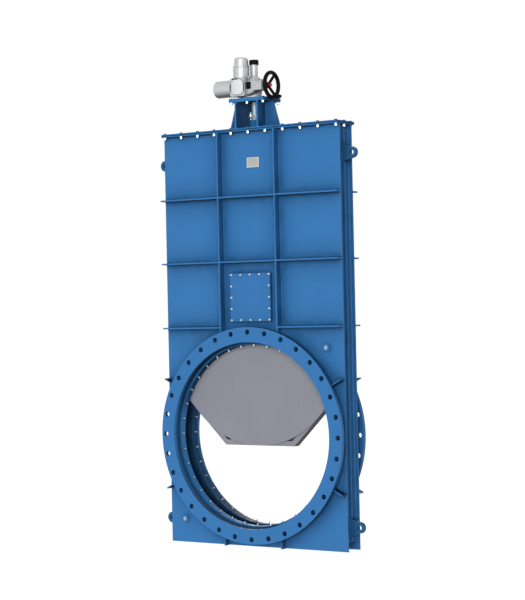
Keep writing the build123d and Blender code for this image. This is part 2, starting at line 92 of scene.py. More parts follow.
# Ribs, gussets and yoke sheets that the seams run along
HALF_RIB = 0.005
HALF_GUSSET = 0.004
RIB_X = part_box("front_vertical_ribs")[1].x - HALF_RIB
VERTICAL_RIB_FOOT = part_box("front_vertical_ribs")[0].z
RIB_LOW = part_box("front_horizontal_ribs")[0].z + HALF_RIB
RIB_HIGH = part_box("front_horizontal_ribs")[1].z - HALF_RIB
RIB_MIDDLE_SHARE = 0.503
RIB_LEVELS = (RIB_LOW, RIB_LOW + RIB_MIDDLE_SHARE * (RIB_HIGH - RIB_LOW), RIB_HIGH)
GUSSET_ANGLES = (28.0, 152.0, 208.0, 332.0)
GUSSET_END = 0.684
FOOT_GUSSET_TOP = -0.585
YOKE_SHEET = 0.010

# Seats and details of the small parts
RIM_BOLT_INSET = 0.014
HATCH_BOLT_INSET = 0.0085
YOKE_BOLT_INSET = 0.0125
THREAD_END = 0.003
SEAL_BORE = 0.590
SEAL_SCREW_SETBACK = 0.015
PLUG_PLACE = 0.565
PLUG_RADIUS = 0.0135
BOSS_EDGE = 0.0004
DRIVE_FOOT = 0.012
DRIVE_FOOT_RADIUS = 0.0635
DRIVE_FOOT_ANGLES = (0.0, 75.0, 150.0)
GLAND_STUD_X = 0.034
GLAND_STUD_RISE = 0.028
GLAND_WASHER = 0.002
GASKET_BAND = 0.030
GASKET_PROUD = 0.0008
# Painted shadow: the black seal sheet under the control cover, its thickness and corner
COVER_SHADOW_SEAL = 0.003
COVER_SHADOW_SEAL_CORNER = 0.029
COVER_SCREW_HEAD = 0.009
COVER_SCREW_INSET = 0.0125
COVER_SCREW_RISE = 0.004
BLIND_PLUG = 0.015
BLIND_PLUG_SPOTS = (-0.102, -0.080)
BLIND_PLUG_LIFT = 0.003
BLIND_PLUG_RISE = 0.004
BLIND_PLUG_SIDES = 24
PLATE_RIM = 0.004
PLATE_RIM_RISE = 0.0012
RIVET_INSET = 0.009
RIVET_RADIUS = 0.0035
RIVET_FLATNESS = 0.6

# Proportions of the fasteners and of a weld seam's section
HEAD_SHARE = 0.42
LOW_HEAD_SHARE = 0.24
FLAT_HEAD_SHARE = 0.1
NUT_SHARE = 0.8
WASHER_SHARE = 0.12
WASHER_REACH = 0.64
NUT_WASHER_REACH = 0.6
HEX_CHAMFER = 0.07
SHARP_ANGLE = math.radians(32)
WASHER_SIDES = 20
THREAD_SIDES = 14
BEAD_SHAPE = ((-0.2, -0.2), (1.0, 0.0), (0.78, 0.52), (0.52, 0.78), (0.0, 1.0))


def length(name, description, default):
    """A length in the sidebar."""
    return FloatProperty(name=name, description=description, default=default, min=0.0, unit="LENGTH",
                         subtype="DISTANCE")


def colour(name, description, default):
    """A colour in the sidebar."""
    return FloatVectorProperty(name=name, description=description, default=(*default, 1.0), size=4, min=0.0,
                               max=1.0, subtype="COLOR")


def count(name, description, default):
    """A number of like pieces in the sidebar."""
    return IntProperty(name=name, description=description, default=default, min=2)


def amount(name, description, default):
    """A lamp's strength in the sidebar."""
    return FloatProperty(name=name, description=description, default=default, min=0.0)


def portion(name, description, default):
    """A share from none to all in the sidebar."""
    return FloatProperty(name=name, description=description, default=default, min=0.0, max=1.0,
                         subtype="FACTOR")


def degrees(name, description, default):
    """An angle in the sidebar."""
    return FloatProperty(name=name, description=description, default=math.radians(default), subtype="ANGLE",
                         unit="ROTATION")


class DamperFasteners(bpy.types.PropertyGroup):
    """Sizes and pitches of the bolts, studs and screws."""

    rim_bolt_flats: length("Rim bolt flats", "Across flats of the bonnet rim's bolts", 0.0175)
    rim_bolt_thread: length("Rim bolt thread", "Thread diameter of the bonnet rim's bolts", 0.013)
    rim_bolt_pitch: length("Rim bolt pitch", "Spacing along the rim's front and back", 0.134)
    hatch_bolt_flats: length("Hatch bolt flats", "Across flats of the hatch bolts", 0.0115)
    hatch_bolts_per_side: count("Hatch bolts per side", "Bolts along one hatch side", 5)
    seal_screw_head: length("Seal screw head", "Head diameter of the seal ring's screws", 0.011)
    seal_screw_rise: length("Seal screw rise", "Head height of the seal ring's screws", 0.014)
    seal_screws: count("Seal screws", "Screws round one seal ring", 36)
    yoke_bolt_flats: length("Yoke bolt flats", "Across flats of the yoke plate's bolts", 0.0155)
    yoke_bolt_thread: length("Yoke bolt thread", "Thread diameter of the yoke plate's bolts", 0.012)
    foot_bolt_flats: length("Drive foot bolt flats", "Across flats of the gearbox foot's bolts", 0.016)
    gland_stud: length("Gland stud", "Diameter of the gland's studs", 0.010)
    gland_nut_flats: length("Gland nut flats", "Across flats of the gland's nuts", 0.017)
    gasket: length("Gasket", "Thickness of the bonnet's gasket", 0.004)


class DamperSeams(bpy.types.PropertyGroup):
    """Legs of the weld seams."""

    rib_leg: length("Rib seam", "Leg of the seams along the ribs and gussets", 0.004)
    neck_leg: length("Neck seam", "Leg of the seams round the necks", 0.009)
    wall_leg: length("Wall seam", "Leg of the seams between plates and walls", 0.007)
    yoke_leg: length("Yoke seam", "Leg of the seams at the yoke's foot", 0.007)


class DamperColours(bpy.types.PropertyGroup):
    """Colours of the finishes."""

    coat: colour("Casing coat", "Satin blue of the casing", (0.0428, 0.198, 0.483))
    # Painted shade: the duct coat and the far ring coat are darker copies of the casing coat, for the necks,
    # the lugs and the back seal ring.
    lining: colour("Duct coat", "Coat inside the necks, a darker copy of the casing coat for painted shade", (0.027, 0.135, 0.330))
    seal: colour("Seal ring coat", "Lighter coat of the seal rings", (0.050, 0.230, 0.550))
    far_ring: colour("Far ring coat", "Coat of the back seal ring, darker still for painted shade", (0.017, 0.078, 0.186))
    casting: colour("Drive coat", "Silver grey of the drive", (0.585, 0.605, 0.62))
    cover: colour("Control cover coat", "Lighter grey of the control cover", (0.79, 0.82, 0.83))
    zinc: colour("Zinc", "Plated fasteners", (0.56, 0.64, 0.69))
    # Painted reflection: the plug steel is tinted blue for the casing round it.
    plug: colour("Purge plug", "Dull steel of the purge plugs, tinted blue as painted reflection", (0.30, 0.40, 0.51))
    gland: colour("Gland", "Dull steel of the gland follower", (0.24, 0.29, 0.32))
    bare_plate: colour("Bare plate", "Blank aluminium plate", (0.44, 0.44, 0.43))
    blade: colour("Blade sheet", "Mill finish of the blade", (0.278, 0.288, 0.330))
    stem: colour("Stem", "Greased ground steel", (0.285, 0.395, 0.44))
    black: colour("Black parts", "Handwheel, caps and knob", (0.005, 0.005, 0.0055))
    glass: colour("Display", "Dark window of the drive", (0.006, 0.007, 0.009))
    red: colour("Red button", "Clutch button in the hub", (0.62, 0.02, 0.025))


class DamperStudio(bpy.types.PropertyGroup):
    """Lamps, floor and camera."""

    key_strength: amount("Key lamp", "Strength of the broad front lamp", 2.74)
    key_turn: degrees("Key turn", "Key lamp's angle to the right of the front", 24)
    key_rise: degrees("Key rise", "Key lamp's angle over the horizon", 5)
    key_breadth: degrees("Key breadth", "Angle that the key lamp fills", 38)
    back_strength: amount("Back lamp", "Strength of the lamp from behind", 1.5)
    back_rise: degrees("Back rise", "Back lamp's angle over the horizon", 10)
    ambient: portion("Ambient", "Strength of the even room light", 0.13)
    floor_glow: portion("Floor glow", "White that the floor shows in full shadow", 0.92)
    floor_tone: portion("Floor tone", "What the lamps add to the floor's white", 0.5)
    lens: FloatProperty(name="Lens", description="Focal length", default=108.87, subtype="DISTANCE_CAMERA")
    eye: FloatVectorProperty(name="Camera place", description="Where the camera stands",
                             default=(6.6198, -9.6734, 0.8218), subtype="TRANSLATION", unit="LENGTH")
    turn: FloatVectorProperty(name="Camera turn", description="Azimuth, elevation and roll of the camera",
                              default=(math.radians(33.878), math.radians(-0.262), math.radians(-1.216)),
                              subtype="EULER", unit="ROTATION")


class DamperSettings(bpy.types.PropertyGroup):
    """All that the sidebar holds."""

    fasteners: PointerProperty(name="Fasteners", description="Bolts, studs and screws", type=DamperFasteners)
    seams: PointerProperty(name="Seams", description="Weld seams", type=DamperSeams)
    colours: PointerProperty(name="Colours", description="Finishes", type=DamperColours)
    studio: PointerProperty(name="Studio", description="Lamps and camera", type=DamperStudio)


def settings():
    """The scene's damper settings."""
    return bpy.context.scene.damper


# Shader helpers

def grow(tree, kind, **attributes):
    """Adds a node of that kind to a tree."""
    made = tree.nodes.new("ShaderNode" + kind)
    for name, value in attributes.items():
        setattr(made, name, value)
    return made


def feed(tree, socket, value):
    """Links an output to a socket, or sets the socket to a plain value."""
    if isinstance(value, bpy.types.NodeSocket):
        tree.links.new(value, socket)
    else:
        socket.default_value = value


def noise(tree, place, scale, detail=3.0):
    """Noise from 0 to 1 over a place."""
    made = grow(tree, "TexNoise")
    feed(tree, made.inputs["Vector"], place)
    feed(tree, made.inputs["Scale"], scale)
    feed(tree, made.inputs["Detail"], detail)
    return made.outputs[0]


def spread(tree, value, low, high, to_low=0.0, to_high=1.0):
    """Stretches one range onto another, clamped."""
    made = grow(tree, "MapRange", clamp=True)
    for name, part in (("Value", value), ("From Min", low), ("From Max", high), ("To Min", to_low),
                       ("To Max", to_high)):
        feed(tree, made.inputs[name], part)
    return made.outputs["Result"]


def calc(tree, operation, first, second=0.0):
    """One sum."""
    made = grow(tree, "Math", operation=operation)
    feed(tree, made.inputs[0], first)
    feed(tree, made.inputs[1], second)
    return made.outputs[0]


def plus(tree, first, second):
    """Two values added."""
    return calc(tree, "ADD", first, second)


def times(tree, first, second):
    """Two values multiplied."""
    return calc(tree, "MULTIPLY", first, second)


def centred(tree, value, reach):
    """A value from 0 to 1 turned into a swing round 0."""
    return times(tree, calc(tree, "SUBTRACT", value, 0.5), reach)


def mixed(tree, share, first, second):
    """Two colours mixed by a share."""
    made = grow(tree, "Mix", data_type="RGBA")
    feed(tree, made.inputs[0], share)
    feed(tree, made.inputs[6], first)
    feed(tree, made.inputs[7], second)
    return made.outputs[2]


def toned(tree, tint, value, saturation=1.0):
    """A colour made lighter or darker."""
    made = grow(tree, "HueSaturation")
    feed(tree, made.inputs["Saturation"], saturation)
    feed(tree, made.inputs["Value"], value)
    feed(tree, made.inputs["Color"], tint)
    return made.outputs["Color"]


def object_place(tree):
    """Places on the piece, in metres."""
    return grow(tree, "TexCoord").outputs["Object"]


def stretched(tree, place, factors):
    """Places stretched along the axes."""
    made = grow(tree, "VectorMath", operation="MULTIPLY")
    feed(tree, made.inputs[0], place)
    feed(tree, made.inputs[1], factors)
    return made.outputs[0]


def effect_group(name, inputs):
    """A node group with inputs that start at these values, and a surface's outputs."""
    tree = bpy.data.node_groups.new(name, "ShaderNodeTree")
    for label, value in inputs.items():
        kind = "NodeSocketFloat" if isinstance(value, float) else WIDE_SOCKETS[len(value)]
        tree.interface.new_socket(name=label, in_out="INPUT", socket_type=kind).default_value = value
    for label, kind in SURFACE_OUTPUTS.items():
        tree.interface.new_socket(name=label, in_out="OUTPUT", socket_type=kind)
    return tree, tree.nodes.new("NodeGroupInput").outputs, tree.nodes.new("NodeGroupOutput").inputs


WHITE = (1.0, 1.0, 1.0, 1.0)
PLATED = {"Streak Way": (90.0, 90.0, 90.0), "Streak": 0.12, "Blotch": 0.25, "Blotch Scale": 120.0,
          "Gloss": 0.34}
WIDE_SOCKETS = {3: "NodeSocketVector", 4: "NodeSocketColor"}
SURFACE_OUTPUTS = {"Colour": "NodeSocketColor", "Roughness": "NodeSocketFloat", "Height": "NodeSocketFloat"}
# Painted shade: how closed a corner is when fully shaded, and the tilt and tone of the shade on faces that
# look up or down
CLOSED_CORNER = 0.55
LEVEL_TILT = (0.2, 0.8)
LEVEL_TONE = 0.08


def edge_mask(tree, radius):
    """Where the surface turns sharply within a radius."""
    rounded = grow(tree, "Bevel", samples=4)
    feed(tree, rounded.inputs["Radius"], radius)
    turned = grow(tree, "VectorMath", operation="DOT_PRODUCT")
    feed(tree, turned.inputs[0], rounded.outputs["Normal"])
    feed(tree, turned.inputs[1], grow(tree, "NewGeometry").outputs["Normal"])
    return spread(tree, calc(tree, "SUBTRACT", 1.0, turned.outputs["Value"]), 0.01, 0.22)


def corner_mask(tree, reach):
    """Where neighbouring surfaces close in, the mask of the painted shade in corners."""
    closed = grow(tree, "AmbientOcclusion", samples=8)
    feed(tree, closed.inputs["Distance"], reach)
    return spread(tree, closed.outputs["AO"], 1.0, CLOSED_CORNER)


def level_mask(tree, upper, under):
    """Faces that look up or down, each by its own share, for painted shade."""
    parts = grow(tree, "SeparateXYZ")
    tree.links.new(grow(tree, "TexCoord").outputs["Normal"], parts.inputs[0])
    rise = parts.outputs[2]
    up = times(tree, spread(tree, rise, *LEVEL_TILT), upper)
    down = times(tree, spread(tree, times(tree, rise, -1.0), *LEVEL_TILT), under)
    return calc(tree, "MAXIMUM", up, down)


def coat_group():
    """Sprayed coat: drifting tone, orange peel, painted highlights on sharp edges, and painted shade in
    closed corners and on faces that look up or down.
    """
    tree, inside, out = effect_group("sprayed_coat", {
        "Coat": WHITE, "Mottle": 0.1, "Edge Light": 0.1, "Corner Shade": 0.3, "Corner Reach": 0.08,
        "Corner Tone": 0.3, "Upper Shade": 0.0, "Under Shade": 0.0, "Gloss": 0.4, "Peel Scale": 260.0})
    place = object_place(tree)
    drift = noise(tree, place, 1.7, 4.0)
    cloud = noise(tree, place, 11.0, 5.0)
    speck = noise(tree, place, 520.0, 2.0)
    tone = plus(tree, drift, times(tree, cloud, 0.6))
    tone = plus(tree, tone, times(tree, speck, 0.25))
    tone = times(tree, calc(tree, "SUBTRACT", tone, 0.925), inside["Mottle"])
    base = toned(tree, inside["Coat"], plus(tree, 1.0, tone))
    # Painted shade: corners where surfaces close in are darkened towards the Corner Tone.
    corner = times(tree, corner_mask(tree, inside["Corner Reach"]), inside["Corner Shade"])
    corner = times(tree, corner, spread(tree, cloud, 0.25, 0.75, 0.65, 1.0))
    base = mixed(tree, corner, base, toned(tree, inside["Coat"], inside["Corner Tone"], 1.05))
    # Painted shade: faces that look up or down are darkened by the Upper and Under Shade.
    level = level_mask(tree, inside["Upper Shade"], inside["Under Shade"])
    base = mixed(tree, level, base, toned(tree, inside["Coat"], LEVEL_TONE))
    # Painted highlight: sharp edges are lightened.
    edge = times(tree, edge_mask(tree, 0.003), inside["Edge Light"])
    edge = times(tree, edge, spread(tree, cloud, 0.3, 0.7, 0.5, 1.0))
    base = mixed(tree, edge, base, toned(tree, inside["Coat"], 1.7, 0.8))
    feed(tree, out["Colour"], base)
    rough = centred(tree, cloud, 0.16)
    rough = plus(tree, plus(tree, inside["Gloss"], rough), times(tree, corner, 0.2))
    feed(tree, out["Roughness"], rough)
    peel = noise(tree, place, inside["Peel Scale"], 2.0)
    feed(tree, out["Height"], plus(tree, peel, times(tree, speck, 0.3)))
    return tree


def metal_group():
    """Worked metal: streaks along one way, cloudy blotches, painted edge highlights and painted shade in
    corners and on faces that look up or down.
    """
    tree, inside, out = effect_group("worked_metal", {
        "Metal": WHITE, "Streak Way": (400.0, 400.0, 6.0), "Streak": 0.1, "Blotch": 0.1, "Blotch Scale": 6.0,
        "Edge Light": 0.2, "Corner Shade": 0.3, "Under Shade": 0.0, "Gloss": 0.35})
    place = object_place(tree)
    streak = noise(tree, stretched(tree, place, inside["Streak Way"]), 1.0, 4.0)
    blotch = noise(tree, place, inside["Blotch Scale"], 5.0)
    tone = centred(tree, streak, inside["Streak"])
    tone = plus(tree, tone, centred(tree, blotch, inside["Blotch"]))
    base = toned(tree, inside["Metal"], plus(tree, 1.0, tone))
    # Painted shade: corners where surfaces close in are darkened.
    corner = times(tree, corner_mask(tree, 0.03), inside["Corner Shade"])
    base = mixed(tree, corner, base, toned(tree, inside["Metal"], 0.3))
    # Painted shade: faces that look up or down are darkened.
    level = level_mask(tree, inside["Under Shade"], inside["Under Shade"])
    base = mixed(tree, level, base, toned(tree, inside["Metal"], LEVEL_TONE))
    # Painted highlight: sharp edges are lightened.
    edge = times(tree, edge_mask(tree, 0.002), inside["Edge Light"])
    base = mixed(tree, edge, base, toned(tree, inside["Metal"], 1.5, 0.8))
    feed(tree, out["Colour"], base)
    rough = centred(tree, streak, 0.22)
    rough = plus(tree, rough, centred(tree, blotch, 0.18))
    feed(tree, out["Roughness"], plus(tree, inside["Gloss"], rough))
    feed(tree, out["Height"], streak)
    return tree


def moulded_group():
    """Moulded or cast skin: leathery grain, faint handling marks and edges mixed a little towards white."""
    tree, inside, out = effect_group("moulded_skin", {
        "Skin": WHITE, "Grain Scale": 700.0, "Pale Edge": 0.3, "Gloss": 0.4})
    place = object_place(tree)
    grain = grow(tree, "TexVoronoi", feature="SMOOTH_F1")
    feed(tree, grain.inputs["Vector"], place)
    feed(tree, grain.inputs["Scale"], inside["Grain Scale"])
    marks = noise(tree, place, 38.0, 5.0)
    base = toned(tree, inside["Skin"], spread(tree, marks, 0.3, 0.7, 0.85, 1.2))
    paler = times(tree, edge_mask(tree, 0.0025), inside["Pale Edge"])
    base = mixed(tree, paler, base, mixed(tree, 0.12, inside["Skin"], WHITE))
    feed(tree, out["Colour"], base)
    rough = centred(tree, marks, 0.3)
    feed(tree, out["Roughness"], plus(tree, inside["Gloss"], rough))
    feed(tree, out["Height"], grain.outputs["Distance"])
    return tree


def finish(name, group, values, metallic=0.0, bump=0.2, depth=0.0004, specular=0.3):
    """A material of one shader whose colour, roughness and bump come from a group."""
    made = bpy.data.materials.new(name)
    made.use_nodes = True
    tree = made.node_tree
    shader = tree.nodes["Principled BSDF"]
    shader.inputs["Metallic"].default_value = metallic
    shader.inputs["Specular IOR Level"].default_value = specular
    surface = tree.nodes.new("ShaderNodeGroup")
    surface.node_tree = group
    for label, value in values.items():
        surface.inputs[label].default_value = value
    relief = grow(tree, "Bump")
    relief.inputs["Strength"].default_value = bump
    relief.inputs["Distance"].default_value = depth
    tree.links.new(surface.outputs["Colour"], shader.inputs["Base Color"])
    tree.links.new(surface.outputs["Roughness"], shader.inputs["Roughness"])
    tree.links.new(surface.outputs["Height"], relief.inputs["Height"])
    tree.links.new(relief.outputs["Normal"], shader.inputs["Normal"])
    return made


def plug_finish(coat, metal, hues):
    """Bare hexagon plugs in bosses that carry the casing's coat."""
    made = finish("purge_plug", metal, {**PLATED, "Metal": hues.plug})
    tree = made.node_tree
    shader = tree.nodes["Principled BSDF"]
    bare = shader.inputs["Base Color"].links[0].from_socket
    painted = tree.nodes.new("ShaderNodeGroup")
    painted.node_tree = coat
    painted.inputs["Coat"].default_value = hues.coat
    parts = grow(tree, "SeparateXYZ")
    tree.links.new(object_place(tree), parts.inputs[0])
    squares = []
    for axis in (0, 2):
        across = calc(tree, "SUBTRACT", calc(tree, "ABSOLUTE", parts.outputs[axis]), PLUG_PLACE)
        squares.append(calc(tree, "POWER", across, 2.0))
    away = calc(tree, "SQRT", plus(tree, *squares))
    boss = spread(tree, away, PLUG_RADIUS, PLUG_RADIUS + BOSS_EDGE)
    feed(tree, shader.inputs["Base Color"], mixed(tree, boss, bare, painted.outputs["Colour"]))
    feed(tree, shader.inputs["Metallic"], spread(tree, boss, 0.0, 1.0, 0.5, 0.0))


def material(name):
    """A finish made before."""
    return bpy.data.materials[name]


# Mesh helpers

def new_piece(name, bm, body, finish_name):
    """Turns a finished bmesh into a piece that rides on a body."""
    bmesh.ops.recalc_face_normals(bm, faces=bm.faces)
    mesh = bpy.data.meshes.new(name)
    bm.to_mesh(mesh)
    bm.free()
    mesh.shade_smooth()
    mesh.set_sharp_from_angle(angle=SHARP_ANGLE)
    mesh.materials.append(material(finish_name))
    obj = bpy.data.objects.new(name, mesh)
    bpy.context.scene.collection.objects.link(obj)
    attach(obj, body)


def new_plated(name, bm):
    """A plated piece on the casing."""
    new_piece(name, bm, "casing", "zinc_plate")


def new_seam(name, bm):
    """A coated weld seam on the casing."""
    new_piece(name, bm, "casing", "blue_seam")


def pattern(build):
    """A small mesh that is stamped many times."""
    bm = bmesh.new()
    build(bm)
    mesh = bpy.data.meshes.new("pattern")
    bm.to_mesh(mesh)
    bm.free()
    return mesh


def stamp(bm, mesh, matrix):
    """Adds one copy of a pattern to a mesh."""
    first = len(bm.verts)
    bm.from_mesh(mesh)
    bm.verts.ensure_lookup_table()
    bmesh.ops.transform(bm, matrix=matrix, verts=bm.verts[first:])


def stamp_all(mesh, places, way):
    """A mesh with copies of a pattern at the places, all pointing one way."""
    bm = bmesh.new()
    for place in places:
        stamp(bm, mesh, standing(place, way))
    return bm


def standing(place, way):
    """The turn that stands a pattern on a place, pointing a way."""
    return Matrix.Translation(place) @ Vector(way).to_track_quat("Z", "Y").to_matrix().to_4x4()


def prism(bm, sides, radius, height, base=0.0, chamfer=0.0):
    """A round or hexagonal block on a level, its upper rim chamfered."""
    middle = Matrix.Translation((0, 0, base + height / 2))
    made = bmesh.ops.create_cone(bm, cap_ends=True, segments=sides, radius1=radius, radius2=radius,
                                 depth=height, matrix=middle)
    if chamfer:
        upper = {v for v in made["verts"] if v.co.z > base + height / 2}
        rim = [e for e in bm.edges if set(e.verts) <= upper]
        bmesh.ops.bevel(bm, geom=rim, offset=chamfer, affect="EDGES", segments=1, profile=0.5, material=-1)


def hexagon(bm, flats, height, base=0.0):
    """A chamfered hexagon on a level."""
    prism(bm, 6, flats / math.sqrt(3), height, base, flats * HEX_CHAMFER)


def hex_bolt(flats, head_share=HEAD_SHARE):
    """Hexagon head on a washer, pointing up."""
    def build(bm):
        washer = flats * WASHER_SHARE
        prism(bm, WASHER_SIDES, flats * WASHER_REACH, washer, 0.0, washer * 0.3)
        hexagon(bm, flats, flats * head_share, washer)
    return pattern(build)


def hex_nut(flats, thread):
    """High nut on a washer with the thread's end through it."""
    def build(bm):
        washer = flats * WASHER_SHARE
        height = flats * NUT_SHARE
        prism(bm, WASHER_SIDES, flats * NUT_WASHER_REACH, washer, 0.0, washer * 0.3)
        hexagon(bm, flats, height, washer)
        prism(bm, THREAD_SIDES, thread / 2, height + washer + THREAD_END, 0.0, thread * 0.1)
    return pattern(build)


def socket_screw(head, rise):
    """Round head with a hexagon socket."""
    def build(bm):
        prism(bm, 16, head / 2, rise, 0.0, head * 0.08)
        top = max(bm.faces, key=lambda face: face.calc_center_median().z)
        rim = bmesh.ops.inset_region(bm, faces=[top], thickness=head * 0.18)
        bmesh.ops.translate(bm, vec=(0, 0, -rise * 0.45), verts=top.verts)
        bmesh.ops.recalc_face_normals(bm, faces=rim["faces"])
    return pattern(build)


def pulled(bm, faces, way):
    """Thickens flat faces along a way."""
    run = bmesh.ops.extrude_face_region(bm, geom=faces, use_keep_orig=True)
    moved = [v for v in run["geom"] if isinstance(v, bmesh.types.BMVert)]
    bmesh.ops.translate(bm, vec=way, verts=moved)


def flat_sheet(bm, span):
    """A flat rectangle of a width and a height round the origin; returns its corners."""
    corners = bmesh.ops.create_grid(bm, x_segments=1, y_segments=1, size=0.5)["verts"]
    bmesh.ops.transform(bm, verts=corners, matrix=Matrix.Diagonal((*span, 1, 1)))
    return corners


def flat_frame(span, band, rise):
    """A flat rectangular frame of a band's width."""
    def build(bm):
        flat_sheet(bm, span)
        ring = bmesh.ops.inset_region(bm, faces=bm.faces, thickness=band, use_boundary=True,
                                      use_even_offset=True)
        middle = [face for face in bm.faces if face not in ring["faces"]]
        bmesh.ops.delete(bm, geom=middle, context="FACES")
        pulled(bm, bm.faces[:], UP * rise)
    return pattern(build)


def rounded_sheet(span, corner, rise):
    """A flat sheet with rounded corners."""
    def build(bm):
        bmesh.ops.bevel(bm, geom=flat_sheet(bm, span), offset=corner, affect="VERTICES", segments=8,
                        profile=0.5, material=-1)
        pulled(bm, bm.faces[:], UP * rise)
    return pattern(build)


def bead(bm, start, end, wall, floor, leg):
    """A rounded weld seam along a straight joint."""
    start = Vector(start)
    points = [start + leg * (out * wall + along * floor) for out, along in BEAD_SHAPE]
    section = bm.faces.new([bm.verts.new(point) for point in points])
    pulled(bm, [section], Vector(end) - start)


def ring_bead(radius, rise, leg, steps=120):
    """A rounded weld seam round an axis, where a round wall meets a level."""
    def build(bm):
        verts = [bm.verts.new((radius + leg * out, 0.0, leg * rise * along)) for out, along in BEAD_SHAPE]
        loop = [bm.edges.new((verts[i - 1], verts[i])) for i in range(len(verts))]
        bmesh.ops.spin(bm, geom=verts + loop, cent=(0, 0, 0), axis=UP, angle=2 * math.pi, steps=steps,
                       use_merge=True)
    return pattern(build)


def behind(place):
    """The mirrored place on the casing's back."""
    return Vector((place[0], DEPTH - place[1], place[2]))


BACKWARD_COPY = Matrix.Translation((0, DEPTH, 0)) @ Matrix.Scale(-1, 4, (0, 1, 0))


def both_faces(bm):
    """The same seams on the casing's front and back."""
    mesh = bpy.data.meshes.new("pattern")
    bm.to_mesh(mesh)
    stamp(bm, mesh, BACKWARD_COPY)
    return bm


FINISH_BY_SLOT = {
    "blue_paint": "blue_coat", "zinc_steel": "zinc_plate", "silver_paint": "silver_casting",
    "black_plastic": "black_coat", "red_plastic": "red_button", "blade_steel": "blade_sheet",
    "stem_steel": "ground_stem",
}
NODES_BY_FINISH = {
    "bonnet_coat": ("top_cover", "top_flange", "yoke_plate", "adapter_plate", "stuffing_box"),
    "shaded_coat": ("yoke_legs", "front_flange_gussets", "back_flange_gussets"),
    "lug_coat": ("upper_lifting_lugs", "lower_lifting_lugs"),
    "duct_coat": ("front_neck", "back_neck"),
    "seal_coat": ("front_seal_ring",),
    "far_ring_coat": ("back_seal_ring",),
    "cover_casting": ("control_cover",),
    "blank_plate": ("nameplate",),
    "gland_steel": ("gland_follower",),
    "purge_plug": ("purge_plugs",),
    "black_grip": ("crank_knob", "tube_cap"),
    "dark_window": ("display",),
}


